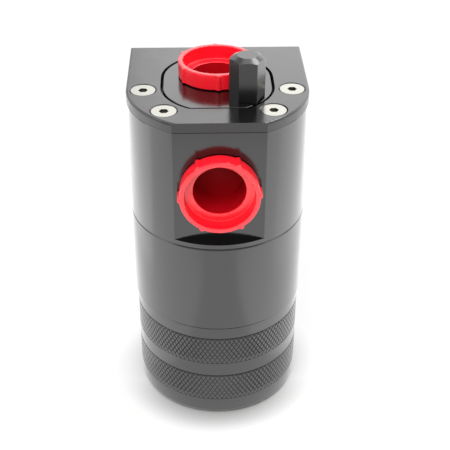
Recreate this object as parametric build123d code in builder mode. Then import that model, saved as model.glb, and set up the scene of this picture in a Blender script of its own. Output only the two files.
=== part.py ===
from build123d import *
import os
from math import asin, atan2, degrees, hypot, radians, tan

# Oil catch can. A ported head hangs under a mounting bracket, a middle sleeve holds the condenser,
# and a cup-shaped canister unscrews from below to be emptied. Sizes are in millimetres. +Z is up,
# the front port faces -Y, and the origin is the centre of the canister's foot.

# Heights of the stack, from the foot up
canister_h = 44.2         # foot to the shoulder that meets the sleeve
sleeve_h = 36.8           # shoulder to shoulder
head_h = 45.4             # sleeve to the shoulder that carries the bracket
bracket_t = 3.6           # plate

# Outsides
body_r = 33.0             # head and sleeve
canister_step = 0.6       # the canister is slimmer than the sleeve by this much
edge_break = 0.4          # small chamfer on turned and milled edges
plate_round = 0.8         # softened outer edge of the bracket's plate
seam_break = 0.3          # on the head's shoulder, which leaves a dark line under the plate

# Head
flat_depth = 4.25         # milled off the round for the flat of the front port
land_h = 2.1              # full round land left below the flat
boss_r = 19.6             # ends of the slot-shaped boss
boss_length = 8.0         # between the two end centres
boss_flat = 17.2          # axis to the flat on the boss's front end
boss_break = 0.15         # fine chamfer round the boss's top
boss_relief = 2.0         # depth of the groove round the boss's foot, so that the plate sits flat
chamber_r = 21.0          # gas chamber inside the head
chamber_shift = 4.0       # chamber centre behind the axis, which leaves the front port its thread
roof_t = 14.5             # metal over the chamber, up to the shoulder

# Ports, straight threads that seal on an O-ring at the mouth
port_r = 11.1
port_seat_r = 12.0        # mouth of the seal's cone
port_seat_depth = 2.5
front_port_rise = 22.8    # above the sleeve
top_port_y = 10.0

# Screwed joints between head, sleeve and canister
head_wall = 2.95          # between the front flat and the sleeve's spigot
sleeve_spigot_h = 10.0
throat_wall = 3.0         # of the sleeve's spigot
sleeve_wall = 3.2         # round the canister's spigot
canister_spigot_h = 12.0
spigot_wall = 3.5         # of the canister's spigot, which sets the clear bore
thread_gap = 0.3          # between a spigot and its socket, all round
end_gap = 1.0             # past the end of a spigot or the front plug

# O-rings of the screwed joints
seal_d = 1.9
seal_groove_depth = 1.9
seal_groove_h = 2.4
seal_groove_rise = 0.6    # above the shoulder
seal_gap = 0.05           # round a seal in its groove

# Canister
floor_t = 5.0
floor_round = 3.0         # inside corner
foot_round = 2.5          # outside corner
knurl_h = 12.7            # each of the two grip bands
knurl_rise = 7.7          # foot to the lower band
knurl_gap = 6.0           # between the bands
relief_w = 0.5            # fine groove at the top of each band
relief_depth = 0.35

# Condenser pack in the sleeve
baffle_t = 1.5
mesh_t = 14.0
pack_gap = 0.2            # pack to bore
drain_hole_r = 2.0
drain_pitch = 7.0
drain_margin = 2.0        # metal left between a drain hole and any other edge
ring_land = 1.8           # sleeve's socket to the sprung ring that carries the pack
ring_t = 1.2
ring_w = 2.6
ring_groove_depth = 1.0
ring_fit = 0.1            # ring in its groove
ring_mouth = 14.0         # gap between the ring's ends

# Tube from the top port down through the pack
tube_r = 8.0
tube_wall = 1.2
tube_fit = 0.15           # tube in the head's ledge
tube_flange_t = 1.5
tube_flange_gap = 0.6     # flange to the port's wall
tube_below_pack = 10.0    # past the lower baffle
pass_gap = 0.5            # round whatever passes through the pack

# Bracket and its screws
boss_gap = 1.0            # opening round the boss
boss_flat_gap = 0.65      # the same at the boss's flat
leg_clear = 0.5           # between the head and the leg
leg_t = 2.6
leg_h = 42.0              # from the plate's top to the leg's lower edge
leg_round = 8.0
inner_round = 0.4         # inside corner between plate and leg
mount_hole_r = 3.3
mount_hole_x = 20.0
mount_hole_drop = 30.0    # below the plate's top
screw_angles = (-5, -45, -135, -175)
screw_r = 2.5
screw_l = 14.0            # under the plate's top
screw_head_r = 4.4
screw_rim_h = 0.2         # upright edge of the head, over its cone
screw_cone = 90           # of head and countersink, in degrees
screw_sink = 0.2          # head below the plate's top
screw_hole_gap = 0.25     # in the bracket
screw_tap_gap = 0.05      # in the head
screw_seat_gap = 0.15     # between the head's cone and its countersink
screw_socket_af = 3.0
screw_socket_depth = 2.2
tap_past_end = 2.0        # tapped hole past the screw's end

# Dipstick
stick_x = 10.05
stick_y = -10.05
hex_af = 11.0
hex_h = 16.5
hex_top_r = 3.65          # flat left by the turned chamfer
hex_slope = 29.5          # of that chamfer, in degrees
stick_thread_r = 3.75
stick_thread_l = 12.0
stick_neck_r = 3.2        # relief that carries the seal
stick_seal_d = 1.2
stick_seal_gap = 0.2      # seal to neck and to its recess
rod_r = 2.0
rod_socket = 5.0          # length of rod held in the knob
rod_floor_gap = 4.0       # rod's tip above the canister's floor
mark_rises = (12.0, 26.0) # low and full marks, above the rod's tip
mark_w = 0.8
mark_depth = 0.3

# Port plugs
plug_stand = 0.5          # shoulder that holds the rim off the port's face
plug_shoulder_r = 13.0
plug_rim_r = 14.2
plug_rim_h = 5.6
plug_rim_wall = 1.7
plug_floor_t = 0.85       # over the port's face
plug_hollow_r = 9.4
plug_depth = 13.5         # stem below the port's face
plug_end_t = 1.2
plug_end_gap = 0.5        # stem's end to the tube's flange
plug_rib_count = 6
plug_rib_r = 0.95         # round back of each grip rib
plug_rib_h = 0.7
plug_edge = 0.35          # softened rim
front_plug_turn = 3       # how each plug came to rest, in degrees
top_plug_turn = 31.5

# Derived heights
seam_z = canister_h + sleeve_h
shoulder_z = seam_z + head_h
top_z = shoulder_z + bracket_t
roof_z = shoulder_z - roof_t
sleeve_socket_h = canister_spigot_h + end_gap
head_socket_h = sleeve_spigot_h + end_gap
ring_z = canister_h + sleeve_socket_h + ring_land
pack_z = ring_z + ring_t
mesh_z = pack_z + baffle_t
upper_baffle_z = mesh_z + mesh_t
pack_top_z = upper_baffle_z + baffle_t
top_port_depth = plug_depth + plug_end_gap + tube_flange_t
tube_seat_z = top_z - top_port_depth
front_port_z = seam_z + front_port_rise

# Derived radii and places
canister_r = body_r - canister_step
front_flat = body_r - flat_depth
sleeve_spigot_r = front_flat - head_wall - thread_gap
throat_r = sleeve_spigot_r - throat_wall
canister_spigot_r = body_r - sleeve_wall - thread_gap
bore_r = canister_spigot_r - spigot_wall
seal_inset = seal_groove_depth - seal_gap - seal_d / 2
pack_r = bore_r - pack_gap
bracket_back = body_r + leg_clear + leg_t
opening_r = boss_r + boss_gap
opening_flat = boss_flat + boss_flat_gap
plug_stem_r = port_r - thread_gap
stick_hole_r = stick_thread_r + thread_gap
stick_seal_r = stick_neck_r + stick_seal_gap + stick_seal_d / 2
stick_recess_r = stick_seal_r + stick_seal_d / 2 + stick_seal_gap
stick_recess_h = stick_seal_d + seal_gap
screw_circle = (opening_r + body_r) / 2
screw_spots = [Vector(screw_circle, 0).rotate(Axis.Z, angle) for angle in screw_angles]
screw_top_z = top_z - screw_sink
screw_flare = tan(radians(screw_cone / 2))
screw_cone_h = (screw_head_r - screw_r) / screw_flare
screw_mouth_r = screw_head_r + (screw_sink + screw_rim_h) * screw_flare + screw_seat_gap
tap_depth = screw_l - bracket_t + tap_past_end
mount_hole_z = top_z - mount_hole_drop
seal_rise = seal_groove_rise + (seal_groove_h - seal_d) / 2
rod_tip_z = floor_t + rod_floor_gap
tube_end_z = pack_z - tube_below_pack
front_seat = Plane(origin=(0, -front_flat, front_port_z), x_dir=(1, 0, 0), z_dir=(0, -1, 0))
top_seat = Plane(origin=(0, top_port_y, top_z), x_dir=(1, 0, 0), z_dir=(0, 0, 1))
stick_spot = (stick_x, stick_y)
tube_spot = (0, top_port_y)
hung = (Align.CENTER, Align.CENTER, Align.MAX)  # the shape hangs under its place

os.makedirs("parts", exist_ok=True)


def slot_outline(z, radius, flat):
    """Outline of the boss, or of the opening that clears it: two round ends, the front one cut flat."""
    turn = degrees(asin(flat / radius))
    with BuildSketch(Plane.XY.offset(z)) as outline:
        with BuildLine():
            left = CenterArc((0, 0), radius, 180, turn)
            right = CenterArc((0, 0), radius, -turn, turn)
            Line(left @ 1, right @ 0)
            Line(right @ 1, (radius, boss_length))
            CenterArc((0, boss_length), radius, 0, 180)
            Line((-radius, boss_length), left @ 0)
        make_face()
    return outline.sketch


def mill_front_flat(z, height):
    """Mill the front of the current part to the flat that carries the front port."""
    with BuildSketch(Plane.XY.offset(z)) as waste:
        with Locations((0, -front_flat)):
            Rectangle(2 * body_r, body_r, align=(Align.CENTER, Align.MAX))
    extrude(waste.sketch, amount=height, mode=Mode.SUBTRACT)


def turned_groove(z, height, outer_r, depth):
    """Cut a square groove round the outside of the current part."""
    with BuildSketch(Plane.XY.offset(z)) as groove:
        Circle(outer_r + depth)
        Circle(outer_r - depth, mode=Mode.SUBTRACT)
    extrude(groove.sketch, amount=height, mode=Mode.SUBTRACT)


def seal_groove(shoulder, spigot_r):
    """Cut the O-ring's groove into a spigot, just above its shoulder."""
    turned_groove(shoulder + seal_groove_rise, seal_groove_h, spigot_r, seal_groove_depth)


def drilled(plane, spot, radius, depth):
    """Cut a flat-bottomed hole into the current part."""
    with BuildSketch(plane) as hole:
        with Locations(spot):
            Circle(radius)
    extrude(hole.sketch, amount=-depth, mode=Mode.SUBTRACT)


def threaded_port(seat, depth):
    """Cut a port with the cone that its fitting's O-ring seals on."""
    drilled(seat, (0, 0), port_r, depth)
    cone_angle = degrees(atan2(port_seat_r - port_r, port_seat_depth))
    with BuildSketch(seat) as mouth:
        Circle(port_seat_r)
    extrude(mouth.sketch, amount=-port_seat_depth, taper=cone_angle, mode=Mode.SUBTRACT)


def o_ring(z, ring_r, section_d, spot=(0, 0)):
    """Ring of round section whose lowest point is at z."""
    with BuildPart() as ring:
        with Locations((*spot, z + section_d / 2)):
            Torus(ring_r, section_d / 2)
    return ring


# Head: turned round, milled flat in front, with the slot-shaped boss left standing on top
with BuildPart() as head:
    with BuildSketch(Plane.XY.offset(seam_z)):
        Circle(body_r)
    extrude(amount=head_h)
    mill_front_flat(seam_z + land_h, head_h)
    chamfer(head.faces().sort_by(Axis.Z)[0].edges(), edge_break)
    chamfer(head.faces().sort_by(Axis.Z)[-1].edges(), seam_break)
    extrude(slot_outline(shoulder_z, opening_r, opening_flat), amount=-boss_relief, mode=Mode.SUBTRACT)
    extrude(slot_outline(shoulder_z - boss_relief, boss_r, boss_flat), amount=boss_relief + bracket_t)
    chamfer(head.faces().sort_by(Axis.Z)[-1].edges(), boss_break)
    drilled(Plane.XY.offset(seam_z + head_socket_h), (0, 0), sleeve_spigot_r + thread_gap, head_socket_h)
    drilled(Plane.XY.offset(roof_z), (0, chamber_shift), chamber_r, roof_z - seam_z - head_socket_h)
    threaded_port(front_seat, plug_depth + end_gap)
    threaded_port(top_seat, top_port_depth)
    drilled(top_seat, (0, 0), tube_r + tube_fit, top_z - roof_z)
    drilled(Plane.XY.offset(top_z), stick_spot, stick_hole_r, top_z - roof_z)
    drilled(Plane.XY.offset(top_z), stick_spot, stick_recess_r, stick_recess_h)
    for spot in screw_spots:
        drilled(Plane.XY.offset(shoulder_z), spot, screw_r + screw_tap_gap, tap_depth)

# Bracket: plate round the boss, with a leg down the back that bolts to the vehicle
with BuildPart() as bracket:
    with BuildSketch(Plane.XY.offset(shoulder_z)):
        Circle(body_r)
        Rectangle(2 * body_r, bracket_back, align=(Align.CENTER, Align.MIN))
    extrude(amount=bracket_t)
    fillet(bracket.faces().sort_by(Axis.Z)[-1].edges(), plate_round)
    mill_front_flat(shoulder_z, bracket_t)
    extrude(slot_outline(shoulder_z, opening_r, opening_flat), amount=bracket_t, mode=Mode.SUBTRACT)
    with BuildSketch(Plane.XZ.offset(-bracket_back)):
        with Locations((0, shoulder_z)):
            Rectangle(2 * body_r, leg_h - bracket_t, align=(Align.CENTER, Align.MAX))
    extrude(amount=leg_t)
    fillet(bracket.edges().filter_by(Axis.Y).group_by(Axis.Z)[0], leg_round)
    inside_corner = bracket.edges().filter_by(Axis.X).filter_by_position(Axis.Z, shoulder_z, shoulder_z)
    fillet(inside_corner.sort_by(Axis.Y)[-1], inner_round)
    with Locations(*[(spot.X, spot.Y, top_z) for spot in screw_spots]):
        CounterSinkHole(
            radius=screw_r + screw_hole_gap,
            counter_sink_radius=screw_mouth_r,
            depth=bracket_t,
            counter_sink_angle=screw_cone,
        )
    with BuildSketch(Plane.XZ.offset(-bracket_back)):
        with Locations((-mount_hole_x, mount_hole_z), (mount_hole_x, mount_hole_z)):
            Circle(mount_hole_r)
    extrude(amount=leg_t, mode=Mode.SUBTRACT)

# Four countersunk socket screws
with BuildPart() as bracket_screws:
    with BuildSketch(Plane.XY.offset(screw_top_z)):
        with Locations(*screw_spots):
            Circle(screw_r)
    extrude(amount=screw_sink - screw_l)
    with BuildSketch(Plane.XY.offset(screw_top_z)):
        with Locations(*screw_spots):
            Circle(screw_head_r)
    extrude(amount=-screw_rim_h)
    with Locations(*[(spot.X, spot.Y, screw_top_z - screw_rim_h) for spot in screw_spots]):
        Cone(screw_r, screw_head_r, screw_cone_h, align=hung)
    with BuildSketch(Plane.XY.offset(screw_top_z)):
        with Locations(*screw_spots):
            RegularPolygon(screw_socket_af / 2, side_count=6, major_radius=False)
    extrude(amount=-screw_socket_depth, mode=Mode.SUBTRACT)

# Sleeve: screws into the head, takes the canister's thread, and holds the condenser under its throat
with BuildPart() as sleeve:
    with BuildSketch(Plane.XY.offset(canister_h)):
        Circle(body_r)
    extrude(amount=sleeve_h)
    chamfer(sleeve.edges().filter_by(GeomType.CIRCLE), edge_break)
    with BuildSketch(Plane.XY.offset(seam_z)):
        Circle(sleeve_spigot_r)
    extrude(amount=sleeve_spigot_h)
    chamfer(sleeve.faces().sort_by(Axis.Z)[-1].edges(), edge_break)
    seal_groove(seam_z, sleeve_spigot_r)
    canister_socket = Plane.XY.offset(canister_h + sleeve_socket_h)
    drilled(canister_socket, (0, 0), canister_spigot_r + thread_gap, sleeve_socket_h)
    drilled(Plane.XY.offset(pack_top_z), (0, 0), bore_r, pack_top_z - canister_h)
    drilled(Plane.XY.offset(seam_z + sleeve_spigot_h), (0, 0), throat_r, sleeve_h + sleeve_spigot_h)
    drilled(Plane.XY.offset(pack_z), (0, 0), bore_r + ring_groove_depth, ring_t + ring_fit)

# Canister: deep cup with a threaded spigot, a fine relief groove over each grip band, and a round foot
with BuildPart() as canister:
    with BuildSketch(Plane.XY):
        Circle(canister_r)
    extrude(amount=canister_h)
    fillet(canister.faces().sort_by(Axis.Z)[0].edges(), foot_round)
    chamfer(canister.faces().sort_by(Axis.Z)[-1].edges(), edge_break)
    with BuildSketch(Plane.XY.offset(canister_h)):
        Circle(canister_spigot_r)
    extrude(amount=canister_spigot_h)
    chamfer(canister.faces().sort_by(Axis.Z)[-1].edges(), edge_break)
    seal_groove(canister_h, canister_spigot_r)
    for band_top_z in (knurl_rise + knurl_h, knurl_rise + knurl_h + knurl_gap + knurl_h):
        turned_groove(band_top_z - relief_w, relief_w, canister_r, relief_depth)
    canister_mouth_z = canister_h + canister_spigot_h
    drilled(Plane.XY.offset(canister_mouth_z), (0, 0), bore_r, canister_mouth_z - floor_t)
    floor = canister.faces().filter_by(Plane.XY).filter_by_position(Axis.Z, floor_t, floor_t)
    fillet(floor.edges(), floor_round)


def baffle(z):
    """Perforated disc, with openings for the tube and the dipstick."""
    with BuildPart() as disc:
        with BuildSketch(Plane.XY.offset(z)):
            Circle(pack_r)
            with Locations(tube_spot):
                Circle(tube_r + pass_gap, mode=Mode.SUBTRACT)
            with Locations(stick_spot):
                Circle(rod_r + pass_gap, mode=Mode.SUBTRACT)
            with Locations(*drain_spots()):
                Circle(drain_hole_r, mode=Mode.SUBTRACT)
        extrude(amount=baffle_t)
    return disc


def drain_spots():
    """Places on a square grid that keep clear of the rim, the tube and the dipstick."""
    keep = drain_hole_r + drain_margin
    count = 2 * int(pack_r / drain_pitch) + 1
    spots = []
    for location in GridLocations(drain_pitch, drain_pitch, count, count):
        x, y = location.position.X, location.position.Y
        in_rim = hypot(x, y) < pack_r - ring_w - keep
        off_tube = hypot(x, y - top_port_y) > tube_r + pass_gap + keep
        off_stick = hypot(x - stick_x, y - stick_y) > rod_r + pass_gap + keep
        if in_rim and off_tube and off_stick:
            spots.append((x, y))
    return spots


lower_baffle = baffle(pack_z)
upper_baffle = baffle(upper_baffle_z)

# Condenser: a pad of knitted wire between the two baffles
with BuildPart() as condenser_mesh:
    with BuildSketch(Plane.XY.offset(mesh_z)):
        Circle(pack_r)
        with Locations(tube_spot):
            Circle(tube_r + pass_gap, mode=Mode.SUBTRACT)
        with Locations(stick_spot):
            Circle(rod_r + pass_gap, mode=Mode.SUBTRACT)
    extrude(amount=mesh_t)

# Sprung ring that keeps the pack down, open on one side
with BuildPart() as baffle_ring:
    with BuildSketch(Plane.XY.offset(ring_z)):
        Circle(bore_r + ring_groove_depth - ring_fit)
        Circle(bore_r + ring_groove_depth - ring_fit - ring_w, mode=Mode.SUBTRACT)
        Rectangle(body_r, ring_mouth, align=(Align.MAX, Align.CENTER), mode=Mode.SUBTRACT)
    extrude(amount=ring_t)

# Tube: its flange stands on the ledge at the bottom of the top port
with BuildPart() as inlet_tube:
    with BuildSketch(Plane.XY.offset(tube_seat_z)):
        with Locations(tube_spot):
            Circle(port_r - tube_flange_gap)
    extrude(amount=tube_flange_t)
    with BuildSketch(Plane.XY.offset(tube_seat_z)):
        with Locations(tube_spot):
            Circle(tube_r)
    extrude(amount=tube_end_z - tube_seat_z)
    tube_top = Plane.XY.offset(tube_seat_z + tube_flange_t)
    drilled(tube_top, tube_spot, tube_r - tube_wall, tube_seat_z + tube_flange_t - tube_end_z)

# Dipstick knob: a hexagon with a turned chamfer, a relieved neck for the seal, and a threaded shank
with BuildPart() as dipstick_knob:
    with BuildSketch(Plane.XY.offset(top_z)):
        with Locations(stick_spot):
            RegularPolygon(hex_af / 2, side_count=6, major_radius=False)
    extrude(amount=hex_h)
    with BuildSketch(Plane.XZ.offset(-stick_y)):
        with BuildLine():
            Polyline(
                (stick_x + hex_top_r, top_z + hex_h),
                (stick_x + hex_af, top_z + hex_h),
                (stick_x + hex_af, top_z + hex_h - (hex_af - hex_top_r) * tan(radians(hex_slope))),
                close=True,
            )
        make_face()
    revolve(axis=Axis((stick_x, stick_y, 0), (0, 0, 1)), mode=Mode.SUBTRACT)
    with BuildSketch(Plane.XY.offset(top_z)):
        with Locations(stick_spot):
            Circle(stick_neck_r)
    extrude(amount=-stick_thread_l)
    with BuildSketch(Plane.XY.offset(top_z - stick_recess_h)):
        with Locations(stick_spot):
            Circle(stick_thread_r)
    extrude(amount=stick_recess_h - stick_thread_l)
    drilled(Plane.XY.offset(top_z - stick_thread_l + rod_socket), stick_spot, rod_r, rod_socket)

# Dipstick rod, with two turned marks
with BuildPart() as dipstick_rod:
    with BuildSketch(Plane.XY.offset(rod_tip_z)):
        with Locations(stick_spot):
            Circle(rod_r)
    extrude(amount=top_z - stick_thread_l + rod_socket - rod_tip_z)
    for rise in mark_rises:
        with BuildSketch(Plane.XY.offset(rod_tip_z + rise)):
            with Locations(stick_spot):
                Circle(rod_r + mark_w)
                Circle(rod_r - mark_depth, mode=Mode.SUBTRACT)
        extrude(amount=mark_w, mode=Mode.SUBTRACT)
    chamfer(dipstick_rod.faces().sort_by(Axis.Z)[0].edges(), edge_break)


def port_plug(seat, turn):
    """Moulded plug: a ribbed cup-shaped rim on a low shoulder, with a hollow stem below."""
    base = seat.offset(plug_stand)
    with BuildPart() as plug:
        with BuildSketch(base):
            Circle(plug_rim_r)
        extrude(amount=plug_rim_h)
        cup_depth = plug_stand + plug_rim_h - plug_floor_t
        drilled(base.offset(plug_rim_h), (0, 0), plug_rim_r - plug_rim_wall, cup_depth)
        fillet(plug.faces().sort_by(Axis(base.origin, base.z_dir))[-1].edges(), plug_edge)
        with BuildSketch(seat):
            Circle(plug_shoulder_r)
        extrude(amount=plug_stand)
        with BuildSketch(seat):
            Circle(plug_stem_r)
        extrude(amount=-plug_depth)
        drilled(seat.offset(plug_floor_t), (0, 0), plug_hollow_r, plug_floor_t + plug_depth - plug_end_t)
        with BuildSketch(base):
            with PolarLocations(plug_rim_r + plug_rib_h - plug_rib_r, plug_rib_count, start_angle=turn):
                Circle(plug_rib_r)
        extrude(amount=plug_rim_h)
    return plug


pieces = {
    "head": head,
    "bracket": bracket,
    "bracket_screws": bracket_screws,
    "front_port_plug": port_plug(front_seat, front_plug_turn),
    "top_port_plug": port_plug(top_seat, top_plug_turn),
    "dipstick_knob": dipstick_knob,
    "dipstick_rod": dipstick_rod,
    "dipstick_seal": o_ring(top_z - stick_seal_d, stick_seal_r, stick_seal_d, stick_spot),
    "sleeve": sleeve,
    "sleeve_seal": o_ring(seam_z + seal_rise, sleeve_spigot_r - seal_inset, seal_d),
    "canister": canister,
    "canister_seal": o_ring(canister_h + seal_rise, canister_spigot_r - seal_inset, seal_d),
    "inlet_tube": inlet_tube,
    "lower_baffle": lower_baffle,
    "condenser_mesh": condenser_mesh,
    "upper_baffle": upper_baffle,
    "baffle_ring": baffle_ring,
}
for name, piece in pieces.items():
    piece.part.label = name
    export_step(piece.part, f"parts/{name}.step")
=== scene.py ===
# %% [markdown]
# # Oil catch can
# An oil catch can sits in the breather hose of an engine and keeps the oil mist out of the inlet.
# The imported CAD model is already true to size, so this lesson doesn't reshape it. It models the pieces
# whose fine form is left to the mesh (the knurled cup, the screw threads, the moulded plugs), and then
# gives every surface the finish of the real one.

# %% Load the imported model
from math import atan2, cos, hypot, pi, radians, sin, sqrt, tan

import bmesh
import bpy
from mathutils import Matrix, Vector


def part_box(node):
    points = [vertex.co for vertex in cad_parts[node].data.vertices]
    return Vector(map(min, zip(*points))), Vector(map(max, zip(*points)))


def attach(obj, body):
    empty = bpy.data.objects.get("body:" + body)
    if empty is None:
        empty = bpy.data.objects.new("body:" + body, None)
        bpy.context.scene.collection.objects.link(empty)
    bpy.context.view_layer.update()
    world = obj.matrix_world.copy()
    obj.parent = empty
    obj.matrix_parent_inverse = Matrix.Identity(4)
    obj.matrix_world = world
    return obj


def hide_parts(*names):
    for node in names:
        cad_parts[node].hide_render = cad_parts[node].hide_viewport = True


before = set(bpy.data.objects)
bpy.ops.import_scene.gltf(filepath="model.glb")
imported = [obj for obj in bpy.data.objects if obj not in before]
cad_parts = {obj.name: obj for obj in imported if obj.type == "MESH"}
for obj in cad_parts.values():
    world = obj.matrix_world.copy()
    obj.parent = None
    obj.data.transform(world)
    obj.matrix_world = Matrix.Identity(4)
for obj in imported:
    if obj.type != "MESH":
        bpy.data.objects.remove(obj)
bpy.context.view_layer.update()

MM = 0.001
NEAR = 0.01               # two lengths in mm that differ by less count as the same

# %% [markdown]
# ## Helpers for turned pieces
# Most of this object was made on a lathe, and Blender's spin operator is a lathe too: it turns an
# outline round an axis. The outline is a handful of points, given as radius and height in millimetres.
# Rounded corners are bevelled into the outline before it is spun, which costs far fewer faces than
# bevelling the finished shape. Where the outline meets the axis, the spin leaves one point per step,
# so the doubles are merged, and only then are the normals worked out.

# %% Spin an outline
def spun(points, steps, rounds):
    """A turned shape about Z. Rounds gives a radius in mm for some of the outline's corners, by number."""
    shape = bmesh.new()
    corners = [shape.verts.new((r * MM, 0, z * MM)) for r, z in points]
    for near, far in zip(corners, corners[1:]):
        shape.edges.new((near, far))
    for number, radius in rounds.items():
        bmesh.ops.bevel(shape, geom=[corners[number]], offset=radius * MM, affect="VERTICES",
                        segments=5, profile=0.5, material=-1)
    bmesh.ops.spin(shape, geom=shape.verts[:] + shape.edges[:], cent=(0, 0, 0), axis=(0, 0, 1),
                   angle=2 * pi, steps=steps, use_merge=True)
    bmesh.ops.remove_doubles(shape, verts=shape.verts[:], dist=0.001 * MM)
    return shape


def radius_of(vert):
    """How far a vertex is from the axis, in mm."""
    return hypot(vert.co.x, vert.co.y) / MM


print("the lathe is ready")

# %% [markdown]
# ## Helper for screw threads
# A thread is a small ridge that climbs as it goes round. The same spin operator makes it when it is
# given a step along the axis as well. The ridge is a closed body of its own, sunk a little way into
# the core. Real threads run out over part of a turn, so the crest fades at both ends.

# %% Wind a thread
ridge_sunk = 0.1          # how far the ridge reaches into the core, in mm
ridge_foot = 0.46         # half the ridge's width at its foot and at its crest, as parts of the pitch
ridge_crest = 0.08
run_out = 0.4             # the part of a turn over which the crest fades


def wind_thread(shape, core, crest, pitch, low, high, steps):
    """Adds a right-handed ridge between two heights. Sizes are in mm, and steps is for one turn."""
    root = core - ridge_sunk
    start = low + pitch / 2
    turns = (high - low) / pitch - 1
    outline = [(root, -ridge_foot), (crest, -ridge_crest), (crest, ridge_crest), (root, ridge_foot)]
    verts = [shape.verts.new((r * MM, 0, (start + part * pitch) * MM)) for r, part in outline]
    edges = [shape.edges.new((verts[i - 1], verts[i])) for i in range(4)]
    count = round(turns * steps)
    wound = bmesh.ops.spin(shape, geom=verts + edges, cent=(0, 0, 0), axis=(0, 0, 1),
                           dvec=(0, 0, pitch * MM / steps), angle=2 * pi * count / steps, steps=count)
    bmesh.ops.contextual_create(shape, geom=edges)
    last = [item for item in wound["geom_last"] if isinstance(item, bmesh.types.BMEdge)]
    bmesh.ops.contextual_create(shape, geom=last)
    for vert in shape.verts:
        if abs(radius_of(vert) - crest) < NEAR and low * MM < vert.co.z < high * MM:
            turn = (vert.co.z / MM - start) / pitch
            fade = max(0, min(1, turn / run_out, (turns - turn) / run_out))
            vert.co.xy *= (core + (crest - core) * fade) / crest
    return turns


print("the thread winder is ready")

# %% [markdown]
# ## Helper that finishes a piece
# A bmesh becomes an object only at the end. Faces are shaded smooth, and an edge that bends by more than
# a chosen angle is marked sharp, which is what the editor's "shade smooth by angle" does. The object stays
# at the origin with its place in its mesh, as a CAD node does, and rides on the body it belongs to.

# %% Make an object of a shape
def finished_piece(name, shape, body, sharp=30):
    """Turns a bmesh into a piece that stands for the CAD node of the same name. Sharp is in degrees."""
    bmesh.ops.recalc_face_normals(shape, faces=shape.faces[:])
    for face in shape.faces:
        face.smooth = True
    for edge in shape.edges:
        edge.smooth = edge.calc_face_angle(pi) < radians(sharp)
    mesh = bpy.data.meshes.new(name)
    shape.to_mesh(mesh)
    shape.free()
    piece = bpy.data.objects.new(name + "_detail", mesh)
    bpy.context.scene.collection.objects.link(piece)
    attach(piece, body)
    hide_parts(name)
    print(f"{piece.name}: {len(mesh.polygons)} faces on {body}")
    return piece


# %% [markdown]
# ## The canister
# The bottom cup is unscrewed by hand to empty it, so two bands of its wall are knurled. It is turned from
# bar: a rounded foot, the plain wall, a fine relief groove above each band, a shoulder, a groove for
# the seal and the screw thread at the top. The outline carries all of that. The wall is split into rows
# where the bands are, and one step of the spin is one tooth of the knurl.

# %% Sizes of the canister
cup_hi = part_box("canister")[1]
wall_r = cup_hi.x / MM
rim_z = cup_hi.z / MM
shoulder_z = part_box("sleeve")[0].z / MM
spigot_r = 29.5           # the thread's crest, and the collar under the seal
spigot_core = 28.7        # the thread's root
seal_seat_r = 27.6
collar_h = 0.6
seal_end = 3              # top of the seal's groove, above the shoulder
bore_r = 26.0
base_h = 5
foot_round = 2.5
bore_round = 3
lead_in = 0.6             # slope at the spigot's end, where the thread starts
shoulder_edge = 0.4
cup_pitch = 2
cup_gap = 0.4             # left plain at both ends of the thread
knurl_teeth = 110         # 1.85 mm round the wall, a standard coarse diamond knurl
knurl_rows = 4            # each 3.05 mm high, which lays the grooves at about 30 degrees to the axis
knurl_depth = 0.25
groove_w = 0.5
band_edge = 0.12          # a narrow row of faces under each band, which closes its lowest grooves
wall_skin = 0.1           # a face whose middle lies this near to the wall belongs to it
relief_w = 0.5
relief_depth = 0.35
bands = ((7.7, 19.9), (26.4, 38.6))
print("knurl tooth:", round(2 * pi * wall_r / knurl_teeth, 3), "mm")

# %% Spin the cup
outline = [(0, 0), (wall_r, 0)]
for low, high in bands:
    outline += [(wall_r, low - band_edge)]
    outline += [(wall_r, low + (high - low) * row / knurl_rows) for row in range(knurl_rows + 1)]
    outline += [(wall_r - relief_depth, high), (wall_r - relief_depth, high + relief_w)]
    outline += [(wall_r, high + relief_w)]
outline += [
    (wall_r, shoulder_z - shoulder_edge), (wall_r - shoulder_edge, shoulder_z), (spigot_r, shoulder_z),
    (spigot_r, shoulder_z + collar_h), (seal_seat_r, shoulder_z + collar_h),
    (seal_seat_r, shoulder_z + seal_end), (spigot_core, shoulder_z + seal_end),
    (spigot_core, rim_z - lead_in), (spigot_core - lead_in, rim_z), (bore_r, rim_z),
    (bore_r, base_h), (0, base_h),
]
cup = spun(outline, knurl_teeth, {1: foot_round, len(outline) - 2: bore_round})
print("cup before knurling:", len(cup.faces), "faces")

# %% [markdown]
# ## The knurl
# A knurling tool presses two sets of slanting grooves into the wall, and leaves a diamond between them.
# Poking each face of the band puts a point in its middle and joins it to the corners: those diagonals are
# the grooves. Dissolving the old upright and level edges leaves only the diamonds. Each diamond is inset,
# which keeps its land, and the points of the lattice are pushed in, which opens a groove with sloping
# sides. The lowest points go in only half as far, so that the grooves run out into the plain wall.

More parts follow.
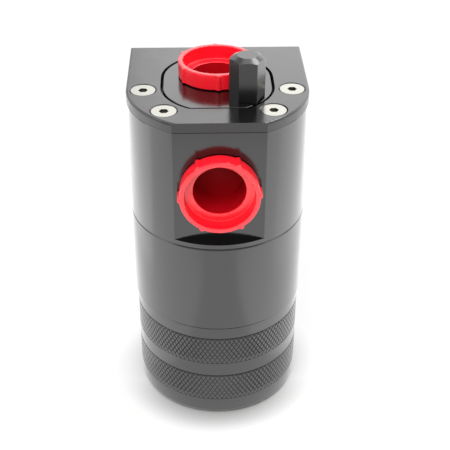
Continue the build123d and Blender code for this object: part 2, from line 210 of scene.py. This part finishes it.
# %% Press the knurl into the wall
def press_knurl(shape, low, high):
    """Turns the rows of faces between two heights into diamonds with grooves between them."""
    def in_band(face):
        middle = face.calc_center_median()
        on_wall = hypot(middle.x, middle.y) > (wall_r - wall_skin) * MM
        return low * MM < middle.z < high * MM and on_wall

    band = [face for face in shape.faces if in_band(face)]
    old_edges = {edge for face in band for edge in face.edges}
    lattice = {vert for face in band for vert in face.verts}
    poked = bmesh.ops.poke(shape, faces=band)
    lattice.update(poked["verts"])
    inner = [edge for edge in old_edges if all(in_band(face) for face in edge.link_faces)]
    bmesh.ops.dissolve_edges(shape, edges=inner, use_verts=False)
    diamonds = [face for face in shape.faces if in_band(face)]
    bmesh.ops.inset_individual(shape, faces=diamonds, thickness=groove_w / 2 * MM, use_even_offset=True)
    for vert in lattice:
        at_end = abs(vert.co.z / MM - low) < NEAR
        vert.co.xy *= 1 - (knurl_depth / 2 if at_end else knurl_depth) / radius_of(vert)
    return len(diamonds)


for low, high in bands:
    print("diamonds pressed:", press_knurl(cup, low, high))

# %% Cut the cup's thread
cup_turns = wind_thread(cup, spigot_core, spigot_r, cup_pitch, shoulder_z + seal_end + cup_gap,
                        rim_z - cup_gap, knurl_teeth)
print("turns of thread:", round(cup_turns, 2))
canister = finished_piece("canister", cup, "canister")

# %% [markdown]
# ## The dipstick's knob
# The knob is made from hexagon bar, and its top is turned to a cone with a small flat. Where the cone
# cuts the flats it leaves the curved edges that every nut and bolt head has. Each side of the hexagon is
# divided, so that its upper edge can follow that curve: a point's height depends only on its distance
# from the axis. The rest is drawn on loop by loop: each extrusion of the loop is pulled to a radius and
# a height.

# %% Sizes of the knob
knob_lo, knob_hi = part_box("dipstick_knob")
knob_centre = (knob_lo + knob_hi) / 2
corner_r = (knob_hi.x - knob_lo.x) / 2 / MM
knob_top = knob_hi.z / MM
knob_end = knob_lo.z / MM
boss_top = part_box("head")[1].z / MM
top_flat_r = 3.65
cone_slope = radians(29.5)
neck_r = 3.2              # the plain neck that carries the seal
neck_h = 1.6
shank_core = 3.1
shank_crest = 3.75
shank_pitch = 1.25
shank_edge = 0.5
shank_gap = 0.3           # left plain at the end of the thread
shank_steps = 48          # steps of one turn
rod_r = 2.0               # the hole that holds the dipstick's rod
rod_hole = 5
corner_round = 0.12
print("hexagon, across corners:", round(2 * corner_r, 2), "mm")


# %% Draw the knob
def draw_on(shape, loop, radius, height):
    """Extrudes a loop of edges and sets the new one to a radius and a height in mm.

    With a radius of None each vertex keeps its own, and the height may be a function of the radius.
    """
    grown = bmesh.ops.extrude_edge_only(shape, edges=loop)["geom"]
    for vert in grown:
        if isinstance(vert, bmesh.types.BMVert):
            old = radius_of(vert)
            if radius is not None:
                vert.co.xy *= radius / old
            vert.co.z = (height(old) if callable(height) else height) * MM
    return [edge for edge in grown if isinstance(edge, bmesh.types.BMEdge)]


def cone_height(radius):
    """Height of the turned cone at a distance from the knob's axis."""
    return knob_top - (radius - top_flat_r) * tan(cone_slope)


knob = bmesh.new()
on_boss = Matrix.Translation((0, 0, boss_top * MM)) @ Matrix.Rotation(radians(30), 4, "Z")
bmesh.ops.create_circle(knob, segments=6, radius=corner_r * MM, matrix=on_boss)
bmesh.ops.subdivide_edges(knob, edges=knob.edges[:], cuts=11)
base = knob.edges[:]
loop = draw_on(knob, base, None, cone_height)
loop = draw_on(knob, loop, top_flat_r, knob_top)
bmesh.ops.contextual_create(knob, geom=loop)
upright = [edge for edge in knob.edges
           if all(radius_of(vert) > corner_r - NEAR for vert in edge.verts)]
loop = base
shank = [
    (neck_r, boss_top), (neck_r, boss_top - neck_h), (shank_core, boss_top - neck_h),
    (shank_core, knob_end + shank_edge), (shank_core - shank_edge, knob_end), (rod_r, knob_end),
    (rod_r, knob_end + rod_hole),
]
for radius, height in shank:
    loop = draw_on(knob, loop, radius, height)
bmesh.ops.contextual_create(knob, geom=loop)
bmesh.ops.bevel(knob, geom=upright, offset=corner_round * MM, affect="EDGES", segments=2, profile=0.5,
                material=-1)
wind_thread(knob, shank_core, shank_crest, shank_pitch, knob_end + shank_gap, boss_top - neck_h,
            shank_steps)
bmesh.ops.translate(knob, verts=knob.verts[:], vec=(knob_centre.x, knob_centre.y, 0))
dipstick_knob = finished_piece("dipstick_knob", knob, "dipstick", 20)

# %% [markdown]
# ## The port plugs
# Both ports are closed for shipping by the same moulded plug: a cup-shaped rim with six grip ribs, and
# a thin-walled stem with a coarse thread. It is a turned shape too, except for the ribs. They need no
# extra faces: the points of the outer wall that lie within a rib are moved out on to the rib's round
# back. The faces inside the stem get the second material, a darker copy of the red that is painted shade
# for the hollow.

# %% Sizes of the plugs
plug_rim_r = 14.2
plug_rim_h = 5.6
plug_rim_wall = 1.7
plug_floor = 0.35
plug_stand = 0.5          # shoulder between the rim and the port's face
plug_shoulder_r = 13.0
plug_hollow_r = 9.4
plug_hollow_end = -12.8
plug_end = -14.0
plug_core = 10.0
plug_crest = 10.8
plug_pitch = 1.81         # 14 turns to the inch
plug_thread_low = plug_end + 0.4
plug_thread_high = -1.2
plug_thread_steps = 72    # steps of one turn
plug_steps = 240          # finer, and a multiple of the six ribs
rib_r = 0.95
rib_h = 0.7
rib_spot = plug_rim_r + rib_h - rib_r
rib_step = radians(60)
rim_round = 0.35
# radius of the outline's rounded corners, by their number
plug_rounds = {1: 0.4, 2: 0.3, 3: 0.4, 4: 0.3, 5: rim_round, 10: 0.5}
front_lo, front_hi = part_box("front_port_plug")
top_lo, top_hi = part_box("top_port_plug")
front_base = Vector((0, front_lo.y + plug_rim_h * MM, (front_lo.z + front_hi.z) / 2))
top_base = Vector((0, (top_lo.y + top_hi.y) / 2, top_hi.z - plug_rim_h * MM))
print("undersides of the rims in mm:", [round(v / MM, 2) for v in (*front_base, *top_base)])


# %% Mould a plug
def moulded_plug(name, body, place, turn):
    """One plug, turned about its own axis and set on its port."""
    outline = [
        (0, plug_hollow_end), (plug_hollow_r, plug_hollow_end), (plug_hollow_r, plug_floor),
        (plug_rim_r - plug_rim_wall, plug_floor), (plug_rim_r - plug_rim_wall, plug_rim_h),
        (plug_rim_r, plug_rim_h), (plug_rim_r, 0), (plug_shoulder_r, 0), (plug_shoulder_r, -plug_stand),
        (plug_core, -plug_stand), (plug_core, plug_end), (0, plug_end),
    ]
    plug = spun(outline, plug_steps, plug_rounds)
    for vert in plug.verts:
        if radius_of(vert) > plug_rim_r - rim_round - NEAR:
            off_rib = (atan2(vert.co.y, vert.co.x) + rib_step / 2) % rib_step - rib_step / 2
            reach = rib_r ** 2 - (rib_spot * sin(off_rib)) ** 2
            out = rib_spot * cos(off_rib) + sqrt(max(0, reach))
            vert.co.xy *= max(1, out / plug_rim_r) if reach > 0 else 1
    # faces inside the stem take the second material, a darker red that is painted shade for the hollow
    for face in plug.faces:
        in_stem = all(radius_of(vert) < plug_hollow_r + NEAR for vert in face.verts)
        above_end = face.calc_center_median().z > (plug_end + 0.1) * MM
        face.material_index = 1 if in_stem and above_end else 0
    wind_thread(plug, plug_core, plug_crest, plug_pitch, plug_thread_low, plug_thread_high,
                plug_thread_steps)
    bmesh.ops.transform(plug, matrix=place @ Matrix.Rotation(radians(turn), 4, "Z"), verts=plug.verts[:])
    return finished_piece(name, plug, body)


on_front = Matrix.Translation(front_base) @ Matrix.Rotation(radians(90), 4, "X")
front_plug = moulded_plug("front_port_plug", "front_plug", on_front, 3)
top_plug = moulded_plug("top_port_plug", "top_plug", Matrix.Translation(top_base), 31.5)

# %% [markdown]
# ## Helpers for finishes
# Colours are written as sRGB hex codes, as a colour picker shows them, but shaders work in linear light,
# so one function converts them. One more function adds a node with its settings, its values and its links.
# Patterns read Object coordinates, which are metres here, so a pattern's scale is one over its real size.

# %% Colour and node helpers
noise_low = 0.3           # most values of a Noise Texture lie between these two
noise_high = 0.7


def linear(code):
    """A hex colour such as #EC1222, as the linear colour that a shader takes."""
    parts = [int(code[i:i + 2], 16) / 255 for i in (1, 3, 5)]
    return [c / 12.92 if c <= 0.04045 else ((c + 0.055) / 1.055) ** 2.4 for c in parts] + [1]


def add(tree, kind, sockets, **settings):
    """Adds a shader node. Each socket takes a value, or another node's output, which is linked to it."""
    node = tree.nodes.new("ShaderNode" + kind)
    for name, value in settings.items():
        setattr(node, name, value)
    for name, value in sockets.items():
        if isinstance(value, bpy.types.NodeSocket):
            tree.links.new(value, node.inputs[name])
        else:
            node.inputs[name].default_value = value
    return node


def empty_finish(name):
    """A new material without nodes, and its node tree."""
    finish = bpy.data.materials.new(name)
    finish.use_nodes = True
    finish.node_tree.nodes.clear()
    return finish, finish.node_tree


print("white is", linear("#FFFFFF")[0])

# %% [markdown]
# ## Milled black anodising
# The head and the bracket are milled from aluminium and anodised black. The dye sits in a thin layer of
# clear aluminium oxide, so almost no light scatters back, and what the eye sees is the reflection on the
# oxide: the white floor in the upright faces, the bright wall behind in the level ones. A dielectric with
# the oxide's IOR does that. The head was polished first. The bracket's level faces are smooth too, but its
# cut edges were blasted with fine grit, so they are duller and look darker. The surface's own normal tells
# the two apart: its Z is 1 on a level face and 0 on an upright one. A cloud of slightly duller patches and
# a fine grain keep both from looking like glass.

# %% Finishes of the head and bracket
oxide_ior = 1.72
patch_mm = 8              # patches where the dye took a little differently
grit_mm = 0.35            # fine grit leaves marks of about 0.1 mm, drawn coarser so that they show


def anodised_milled(name, smoothest, dullest, edges):
    """Black anodised aluminium, a dark mirror with a faint grain.

    Smoothest and dullest bound the roughness, and edges is what upright faces have on top of it.
    """
    finish, tree = empty_finish(name)
    place = add(tree, "TexCoord", {})
    spot = place.outputs["Object"]
    cloud = add(tree, "TexNoise", {"Vector": spot, "Scale": 1 / (patch_mm * MM), "Detail": 4})
    grain = add(tree, "TexNoise", {"Vector": spot, "Scale": 1 / (grit_mm * MM), "Detail": 2})
    dull = add(tree, "MapRange", {"Value": cloud.outputs["Fac"], "From Min": noise_low,
                                  "From Max": noise_high, "To Min": smoothest, "To Max": dullest})
    lean = add(tree, "SeparateXYZ", {"Vector": place.outputs["Normal"]})
    level = add(tree, "Math", {0: lean.outputs["Z"]}, operation="ABSOLUTE")
    blasted = add(tree, "MapRange", {"Value": level.outputs["Value"], "From Min": 0.2, "From Max": 0.8,
                                     "To Min": edges, "To Max": 0})
    rough = add(tree, "Math", {0: dull.outputs["Result"], 1: blasted.outputs["Result"]}, operation="ADD")
    dye = add(tree, "Mix", {"Factor": cloud.outputs["Fac"], "A": linear("#050506"), "B": linear("#080809")},
              data_type="RGBA")
    pores = add(tree, "Bump", {"Height": grain.outputs["Fac"], "Strength": 0.2, "Distance": 0.006 * MM})
    skin = add(tree, "BsdfPrincipled", {
        "Base Color": dye.outputs["Result"], "Roughness": rough.outputs["Value"], "IOR": oxide_ior,
        "Normal": pores.outputs["Normal"]})
    add(tree, "OutputMaterial", {"Surface": skin.outputs["BSDF"]})
    return finish


polished_black = anodised_milled("black_anodised_polished", 0.14, 0.19, 0)
satin_black = anodised_milled("black_anodised_blasted", 0.19, 0.25, 0.2)
print("made", polished_black.name, satin_black.name)

# %% [markdown]
# ## Turned black anodising
# The sleeve and the canister keep the fine rings that the lathe tool leaves, so they are more satin.
# The rings depend on the height on a round wall, and on the radius on an end face: the sum of both serves
# everywhere.

# %% Finish of the sleeve and canister
ring_mm = 0.5             # about 0.1 mm on the real part, too fine to show, so drawn wider and shallow
blotch_mm = 7             # patches where the dye took a little differently


def anodised_turned():
    """Black anodised aluminium as turned: a dark satin with fine rings."""
    finish, tree = empty_finish("black_anodised_turned")
    spot = add(tree, "TexCoord", {}).outputs["Object"]
    axes = add(tree, "SeparateXYZ", {"Vector": spot})
    level = add(tree, "CombineXYZ", {"X": axes.outputs["X"], "Y": axes.outputs["Y"]})
    radius = add(tree, "VectorMath", {0: level.outputs["Vector"]}, operation="LENGTH")
    along = add(tree, "Math", {0: axes.outputs["Z"], 1: radius.outputs["Value"]}, operation="ADD")
    rings = add(tree, "TexNoise", {"W": along.outputs["Value"], "Scale": 1 / (ring_mm * MM), "Detail": 3},
                noise_dimensions="1D")
    cloud = add(tree, "TexNoise", {"Vector": spot, "Scale": 1 / (blotch_mm * MM), "Detail": 3})
    dull = add(tree, "MapRange", {"Value": rings.outputs["Fac"], "From Min": noise_low,
                                  "From Max": noise_high, "To Min": 0.19, "To Max": 0.24})
    dye = add(tree, "Mix", {"Factor": cloud.outputs["Fac"], "A": linear("#060607"), "B": linear("#0A0A0A")},
              data_type="RGBA")
    feed = add(tree, "Bump", {"Height": rings.outputs["Fac"], "Strength": 0.2, "Distance": 0.01 * MM})
    skin = add(tree, "BsdfPrincipled", {
        "Base Color": dye.outputs["Result"], "Roughness": dull.outputs["Result"], "IOR": oxide_ior,
        "Normal": feed.outputs["Normal"]})
    add(tree, "OutputMaterial", {"Surface": skin.outputs["BSDF"]})
    return finish


turned_black = anodised_turned()
print("made", turned_black.name)

# %% [markdown]
# ## Drawn black anodising
# The knob's flats are the skin of the drawn hexagon bar, and drawing leaves fine lines along the bar. Noise
# that is stretched along Z draws them: it changes every 0.2 mm across and only every 8 mm along. The bar's
# oxide is taken to be a little more porous than that of the milled pieces, so its IOR is lower.

# %% Finish of the knob
line_mm = 0.2
line_length_mm = 8
bar_ior = 1.66


def anodised_drawn():
    """Black anodised aluminium bar: satin, with fine upright drawing lines."""
    finish, tree = empty_finish("black_anodised_drawn")
    spot = add(tree, "TexCoord", {}).outputs["Object"]
    stretch = add(tree, "Mapping", {"Vector": spot, "Scale": (1, 1, line_mm / line_length_mm)})
    lines = add(tree, "TexNoise", {"Vector": stretch.outputs["Vector"], "Scale": 1 / (line_mm * MM),
                                   "Detail": 3})
    dull = add(tree, "MapRange", {"Value": lines.outputs["Fac"], "From Min": noise_low,
                                  "From Max": noise_high, "To Min": 0.19, "To Max": 0.27})
    dye = add(tree, "Mix", {"Factor": lines.outputs["Fac"], "A": linear("#050506"), "B": linear("#0B0A0B")},
              data_type="RGBA")
    drawing = add(tree, "Bump", {"Height": lines.outputs["Fac"], "Strength": 0.25, "Distance": 0.006 * MM})
    skin = add(tree, "BsdfPrincipled", {
        "Base Color": dye.outputs["Result"], "Roughness": dull.outputs["Result"], "IOR": bar_ior,
        "Normal": drawing.outputs["Normal"]})
    add(tree, "OutputMaterial", {"Surface": skin.outputs["BSDF"]})
    return finish


drawn_black = anodised_drawn()
print("made", drawn_black.name)

# %% [markdown]
# ## Red polyethylene
# The plugs are moulded in soft red polyethylene. Light goes a little way into it and comes out again, which
# lifts the rims, so it gets some subsurface scattering over about a millimetre. Its skin is waxy: a soft
# gloss with a very fine orange peel. The stem is only 0.6 mm thick and sits in a black port. Its inside gets
# a darker and duller copy of the red, which is painted shade for the hollow.

# %% Finishes of the plugs
swirl_mm = 5              # how the pigment is streaked
peel_mm = 0.4
polyethylene_ior = 1.51


def polyethylene_red(name, dark, light, smoothest, dullest, gleam):
    """Moulded red polyethylene: waxy, a little translucent at thin edges. Gleam scales its reflection."""
    finish, tree = empty_finish(name)
    spot = add(tree, "TexCoord", {}).outputs["Object"]
    swirl = add(tree, "TexNoise", {"Vector": spot, "Scale": 1 / (swirl_mm * MM), "Detail": 3})
    peel = add(tree, "TexNoise", {"Vector": spot, "Scale": 1 / (peel_mm * MM), "Detail": 2})
    colour = add(tree, "Mix", {"Factor": swirl.outputs["Fac"], "A": linear(dark), "B": linear(light)},
                 data_type="RGBA")
    gloss = add(tree, "MapRange", {"Value": swirl.outputs["Fac"], "From Min": noise_low,
                                   "From Max": noise_high, "To Min": smoothest, "To Max": dullest})
    skin_peel = add(tree, "Bump", {"Height": peel.outputs["Fac"], "Strength": 0.25, "Distance": 0.02 * MM})
    skin = add(tree, "BsdfPrincipled", {
        "Base Color": colour.outputs["Result"], "Roughness": gloss.outputs["Result"],
        "IOR": polyethylene_ior, "Specular IOR Level": gleam, "Subsurface Weight": 0.25,
        "Subsurface Radius": (1, 0.15, 0.15), "Subsurface Scale": 1 * MM,
        "Normal": skin_peel.outputs["Normal"]})
    add(tree, "OutputMaterial", {"Surface": skin.outputs["BSDF"]})
    return finish


red_plastic = polyethylene_red("red_polyethylene", "#EC1222", "#F41A2C", 0.2, 0.28, 0.8)
# a darker, duller copy of the red for the hollow inside the stem: painted shade
shaded_hollow_plastic = polyethylene_red("red_polyethylene_painted_shade", "#980610", "#A40814", 0.5, 0.6, 0.1)
print("made", red_plastic.name, shaded_hollow_plastic.name)

# %% [markdown]
# ## Plain metals
# The screws, the rod and the sprung ring are steel, and the tube and the baffles are bare aluminium. These
# are true metals: metallic is 1, the colour is that of the reflection, and the IOR keeps its default. They
# differ in colour, in how dull they are and in the size of their grain, so one function makes them all.

# %% Finishes of the steel and aluminium pieces
def bare_metal(name, dark, light, dullest, grain_mm, stretch):
    """A metal from a darker to a lighter tone, whose grain is so many times longer along Z."""
    finish, tree = empty_finish(name)
    spot = add(tree, "TexCoord", {}).outputs["Object"]
    drawn = add(tree, "Mapping", {"Vector": spot, "Scale": (1, 1, 1 / stretch)})
    grain = add(tree, "TexNoise", {"Vector": drawn.outputs["Vector"], "Scale": 1 / (grain_mm * MM),
                                   "Detail": 3})
    tone = add(tree, "Mix", {"Factor": grain.outputs["Fac"], "A": linear(dark), "B": linear(light)},
               data_type="RGBA")
    dull = add(tree, "MapRange", {"Value": grain.outputs["Fac"], "From Min": noise_low,
                                  "From Max": noise_high, "To Min": dullest * 0.75, "To Max": dullest})
    scratch = add(tree, "Bump", {"Height": grain.outputs["Fac"], "Strength": 0.2, "Distance": 0.01 * MM})
    skin = add(tree, "BsdfPrincipled", {
        "Base Color": tone.outputs["Result"], "Metallic": 1, "Roughness": dull.outputs["Result"],
        "Normal": scratch.outputs["Normal"]})
    add(tree, "OutputMaterial", {"Surface": skin.outputs["BSDF"]})
    return finish


screw_steel = bare_metal("stainless_screws", "#A09F98", "#ACABA4", 0.25, 0.4, 1)
rod_steel = bare_metal("stainless_rod", "#BDB9B2", "#D0CCC4", 0.25, 0.15, 40)
ring_steel = bare_metal("spring_steel", "#6E6E70", "#8C8B8B", 0.4, 0.3, 1)
aluminium = bare_metal("bare_aluminium", "#C6C8CA", "#DCDDDE", 0.35, 0.25, 6)
print("made", screw_steel.name, rod_steel.name, ring_steel.name, aluminium.name)

# %% [markdown]
# ## Knitted wire and seals
# The condenser is a wad of knitted stainless wire, which the solid only stands for. Two wave patterns
# crossing at an angle give it the look of wire loops about a millimetre apart, and the gaps between the
# loops are painted dark as the shade inside the wad. A Wave Texture makes 20 radians of wave in each unit,
# which is why its scale is worked out in another way than that of a noise.
# The seals are black nitrile rubber: a dull dark grey with a fine powdery grain.

# %% Finishes of the wire wad and the seals
loop_mm = 1.2
loop_scale = 2 * pi / (20 * loop_mm * MM)
powder_mm = 0.25          # real bloom is finer, drawn this coarse so that it shows
nitrile_ior = 1.52


def knitted_wire():
    """Knitted stainless wire: bright crossing strands over gaps painted dark as the shade inside the wad."""
    finish, tree = empty_finish("knitted_wire")
    spot = add(tree, "TexCoord", {}).outputs["Object"]
    turned = add(tree, "Mapping", {"Vector": spot, "Rotation": (0.6, 0.5, 0.8)})
    rows = add(tree, "TexWave", {"Vector": spot, "Scale": loop_scale, "Distortion": 6, "Detail": 2})
    loops = add(tree, "TexWave", {"Vector": turned.outputs["Vector"], "Scale": loop_scale,
                                  "Distortion": 6, "Detail": 2})
    strands = add(tree, "Math", {0: rows.outputs["Fac"], 1: loops.outputs["Fac"]}, operation="MAXIMUM")
    # the dark colour fills the gaps between the strands: painted shade inside the wad
    tone = add(tree, "Mix", {"Factor": strands.outputs["Value"], "A": linear("#2A2927"),
                             "B": linear("#CFCBC3")}, data_type="RGBA")
    relief = add(tree, "Bump", {"Height": strands.outputs["Value"], "Strength": 0.8, "Distance": 0.25 * MM})
    skin = add(tree, "BsdfPrincipled", {
        "Base Color": tone.outputs["Result"], "Metallic": 1, "Roughness": 0.35,
        "Normal": relief.outputs["Normal"]})
    add(tree, "OutputMaterial", {"Surface": skin.outputs["BSDF"]})
    return finish


def nitrile_rubber():
    """Moulded nitrile rubber: near black, dull, faintly powdery."""
    finish, tree = empty_finish("nitrile_rubber")
    spot = add(tree, "TexCoord", {}).outputs["Object"]
    powder = add(tree, "TexNoise", {"Vector": spot, "Scale": 1 / (powder_mm * MM), "Detail": 3})
    tone = add(tree, "Mix", {"Factor": powder.outputs["Fac"], "A": linear("#111112"),
                             "B": linear("#232324")}, data_type="RGBA")
    relief = add(tree, "Bump", {"Height": powder.outputs["Fac"], "Strength": 0.3, "Distance": 0.02 * MM})
    skin = add(tree, "BsdfPrincipled", {
        "Base Color": tone.outputs["Result"], "Roughness": 0.6, "IOR": nitrile_ior,
        "Normal": relief.outputs["Normal"]})
    add(tree, "OutputMaterial", {"Surface": skin.outputs["BSDF"]})
    return finish


wire_wad = knitted_wire()
seal_rubber = nitrile_rubber()
print("made", wire_wad.name, seal_rubber.name)

# %% [markdown]
# ## Dress every piece
# A CAD node keeps its own mesh, which already has smooth normals, and only gets a new material in its
# slot. The new pieces have no slot yet, so theirs is added. The plugs get two: one for the rim and a
# darker one, painted shade, for the hollow.

# %% Assign the finishes
dressing = {
    "head": polished_black, "bracket": satin_black, "sleeve": turned_black, "bracket_screws": screw_steel,
    "dipstick_rod": rod_steel, "baffle_ring": ring_steel, "inlet_tube": aluminium,
    "lower_baffle": aluminium, "upper_baffle": aluminium, "condenser_mesh": wire_wad,
    "canister_seal": seal_rubber, "sleeve_seal": seal_rubber, "dipstick_seal": seal_rubber,
    "canister": turned_black, "dipstick_knob": drawn_black, "front_port_plug": red_plastic,
    "top_port_plug": red_plastic,
}
for name, finish in dressing.items():
    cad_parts[name].data.materials.clear()
    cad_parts[name].data.materials.append(finish)
for piece, finish in ((canister, turned_black), (dipstick_knob, drawn_black), (front_plug, red_plastic),
                      (top_plug, red_plastic), (front_plug, shaded_hollow_plastic), (top_plug, shaded_hollow_plastic)):
    piece.data.materials.append(finish)
print("dressed", len(dressing), "nodes")

# %% [markdown]
# ## Floor and background
# The can stands on a white sweep. The world and the floor show plain white to the camera and in
# reflections, which Light Path tells apart from the light that they throw on the object. In reflections the
# room is darker on the camera's side, as a studio is. Near the can the floor shows part of its own lit
# surface, so the can's soft shadow stays visible. Farther out that part fades, and the floor runs into the
# background without a horizon. Right at the foot, a shadow is painted into the floor's white glow: an
# Ambient
# Occlusion node darkens it where the can hides the room, which seats the can on the floor. The painted
# shadow is made darker in front of the can than at its sides, as the shadow of lamps behind would be.

# %% World
camera_side = 0.65        # brightness of the room behind the camera, where 1 is white
world_share = 0.3         # how much of its brightness the world throws on the object
world = bpy.data.worlds.new("white_studio")
world.use_nodes = True
studio = world.node_tree
studio.nodes.clear()


def backdrop(strength):
    """One white background of the world, at a strength that is a number or another node's output."""
    node = add(studio, "Background", {"Color": linear("#FFFFFF"), "Strength": strength})
    return node.outputs["Background"]


path = add(studio, "LightPath", {})
way = add(studio, "SeparateXYZ", {"Vector": add(studio, "TexCoord", {}).outputs["Generated"]})
room = add(studio, "MapRange", {"Value": way.outputs["Y"], "From Min": -0.7, "From Max": 0.3,
                                "To Min": camera_side, "To Max": 1})
thrown = add(studio, "Math", {0: room.outputs["Result"], 1: world_share}, operation="MULTIPLY")
mirrored = add(studio, "MixShader", {0: path.outputs["Is Glossy Ray"], 1: backdrop(thrown.outputs["Value"]),
                                     2: backdrop(room.outputs["Result"])})
seen = add(studio, "Math", {0: path.outputs["Is Camera Ray"], 1: path.outputs["Is Transmission Ray"]},
           operation="MAXIMUM")
sky = add(studio, "MixShader", {0: seen.outputs["Value"], 1: mirrored.outputs["Shader"], 2: backdrop(1)})
add(studio, "OutputWorld", {"Surface": sky.outputs["Shader"]})
bpy.context.scene.world = world
print("world:", world.name)

# %% Paper for the floor
white_share = 0.7         # how much of the floor near the can is plain white, the rest is lit paper
fade_from = 0.3           # metres from the can at which the lit paper starts to fade
fade_to = 1               # and at which it has gone
# the floor's white glow gets a painted contact shadow at the can's foot; these set its reach and its
# strength in front and at the sides
painted_shadow_reach_mm = 12           # how far from the foot the floor is darkened
painted_shadow_in_front = 2.8       # a power of the open part of the room, so more is darker
painted_shadow_at_sides = 0.7
paper, tree = empty_finish("white_paper")
path = add(tree, "LightPath", {})
seen = add(tree, "Math", {0: path.outputs["Is Camera Ray"], 1: path.outputs["Is Glossy Ray"]},
           operation="MAXIMUM")
spot = add(tree, "TexCoord", {}).outputs["Object"]
away = add(tree, "VectorMath", {0: spot}, operation="LENGTH")
plain = add(tree, "MapRange", {"Value": away.outputs["Value"], "From Min": fade_from, "From Max": fade_to,
                               "To Min": white_share, "To Max": 1})
share = add(tree, "Math", {0: seen.outputs["Value"], 1: plain.outputs["Result"]}, operation="MULTIPLY")
lit = add(tree, "BsdfDiffuse", {"Color": linear("#E6E6E5")})
# painted contact shadow: Ambient Occlusion dims the floor's white glow at the foot, more in front than at
# the sides
open_sky = add(tree, "AmbientOcclusion", {"Distance": painted_shadow_reach_mm * MM}, samples=16)
along = add(tree, "SeparateXYZ", {"Vector": spot})
painted_shadow_power = add(tree, "MapRange", {"Value": along.outputs["Y"], "From Min": -36 * MM, "From Max": -12 * MM,
                               "To Min": painted_shadow_in_front, "To Max": painted_shadow_at_sides})
painted_contact_shadow = add(tree, "Math", {0: open_sky.outputs["AO"], 1: painted_shadow_power.outputs["Result"]}, operation="POWER")
white = add(tree, "Math", {0: painted_contact_shadow.outputs["Value"], 1: path.outputs["Is Glossy Ray"]},
            operation="MAXIMUM")
glow = add(tree, "Emission", {"Color": linear("#FFFFFF"), "Strength": white.outputs["Value"]})
sheet = add(tree, "MixShader", {0: share.outputs["Value"], 1: lit.outputs["BSDF"],
                                2: glow.outputs["Emission"]})
add(tree, "OutputMaterial", {"Surface": sheet.outputs["Shader"]})
print("made", paper.name)

# %% Floor
floor_half = 3            # metres
floor_shape = bmesh.new()
bmesh.ops.create_grid(floor_shape, x_segments=1, y_segments=1, size=floor_half)
floor_mesh = bpy.data.meshes.new("floor")
floor_shape.to_mesh(floor_mesh)
floor_shape.free()
floor_mesh.materials.append(paper)
floor = bpy.data.objects.new("floor", floor_mesh)
bpy.context.scene.collection.objects.link(floor)
print("floor is", 2 * floor_half, "m wide")

# %% [markdown]
# ## Light
# Large soft boxes, as in a product studio. Black anodising shows little but reflections, so most of them
# are placed by what reflects them. The wide one behind is seen in the level faces and sets how light the lid
# looks, and the smaller one on its left fills the lid's other half. The small strong one, high behind on the
# right, gives the plugs' rims their highlights. The ones overhead and at the sides draw a fine light line on
# the rounded edges and on the knob's cone. The one in front lights the red plugs, and is hidden from
# reflections. The cards throw no light on the can. They are there to be reflected: the two that stand at
# the sides lighten the rounded rim of the lid, and those on the floor lighten the edges of the round walls,
# while the floor stays darker towards the camera. A brightness is given as it looks in a mirror, where 1 is
# white, and the power follows from the area.

# %% Soft boxes
def soft_box(name, spot, aim, width, height, brightness):
    """A rectangular area light at a spot in metres, turned to face its aim. Its sides are metres too."""
    lamp = bpy.data.lights.new(name, "AREA")
    lamp.shape = "RECTANGLE"
    lamp.size = width
    lamp.size_y = height
    lamp.energy = brightness * pi * width * height
    box = bpy.data.objects.new(name, lamp)
    towards = Vector(aim) - Vector(spot)
    box.matrix_world = Matrix.Translation(spot) @ towards.to_track_quat("-Z", "Y").to_matrix().to_4x4()
    box.visible_camera = False
    bpy.context.scene.collection.objects.link(box)
    return box


can_middle = (0, 0, 0.09)
soft_box("box_behind", (0.64, 1.1, 0.72), can_middle, 1.8, 1, 1.26)
soft_box("box_behind_left", (-0.5, 0.96, 0.77), can_middle, 0.65, 0.55, 0.7)
soft_box("box_back_high", (0.42, 0.3, 0.97), can_middle, 0.35, 0.35, 8)
soft_box("box_over", (0.05, 0, 1.05), can_middle, 0.8, 0.6, 1.5)
soft_box("box_left", (-0.78, -0.03, 0.88), can_middle, 0.6, 0.6, 1.6)
soft_box("box_right", (0.78, -0.03, 0.88), can_middle, 0.6, 0.6, 1.6)
box_front = soft_box("box_front", (-0.15, -0.6, 0.85), can_middle, 0.6, 0.6, 9.5)
box_front.visible_glossy = False

# %% Cards that are only reflected
for name, x in (("card_standing_left", -1), ("card_standing_right", 1)):
    card = soft_box(name, (x, 0.38, 0.37), can_middle, 0.8, 0.45, 0.85)
    card.visible_diffuse = False
# edges left, right, front and back in metres, then the brightness and the height over the floor
floor_cards = {
    "card_round": (-0.8, 0.8, -0.258, 0.9, 0.45, 0.002),
    "card_left_near": (-0.45, -0.04, -0.13, 0.4, 0.35, 0.003),
    "card_left_far": (-0.45, -0.11, -0.005, 0.4, 0.45, 0.004),
    "card_right_near": (0.045, 0.45, -0.13, 0.4, 0.5, 0.003),
    "card_right_far": (0.11, 0.45, -0.045, 0.4, 0.25, 0.004),
    "card_back": (-0.45, 0.45, 0.2, 0.7, 0.4, 0.005),
}
for name, (left, right, front, back, brightness, z) in floor_cards.items():
    spot = Vector(((left + right) / 2, (front + back) / 2, z))
    card = soft_box(name, spot, spot + Vector((0, 0, 1)), right - left, back - front, brightness)
    card.visible_diffuse = False
print("cards on the floor:", len(floor_cards))

# %% [markdown]
# ## Camera
# The camera stands 0.38 m away and looks down on the can with a short telephoto lens. Its place was worked
# out from the photograph's outlines. It has no shift and no depth of field.

# %% Camera
lens = bpy.data.cameras.new("camera")
lens.lens = 76.8
lens.sensor_width = 36
camera = bpy.data.objects.new("camera", lens)
eye = Vector((-7.446, -315.664, 278.941)) * MM
target = Vector((2.9, 0, 70.07)) * MM
roll = radians(0.26)
facing = (target - eye).to_track_quat("-Z", "Y").to_matrix().to_4x4()
camera.matrix_world = Matrix.Translation(eye) @ facing @ Matrix.Rotation(roll, 4, "Z")
bpy.context.scene.collection.objects.link(camera)
bpy.context.scene.camera = camera
bpy.context.scene.view_settings.view_transform = "Standard"
print("camera is", round((target - eye).length / MM), "mm away")
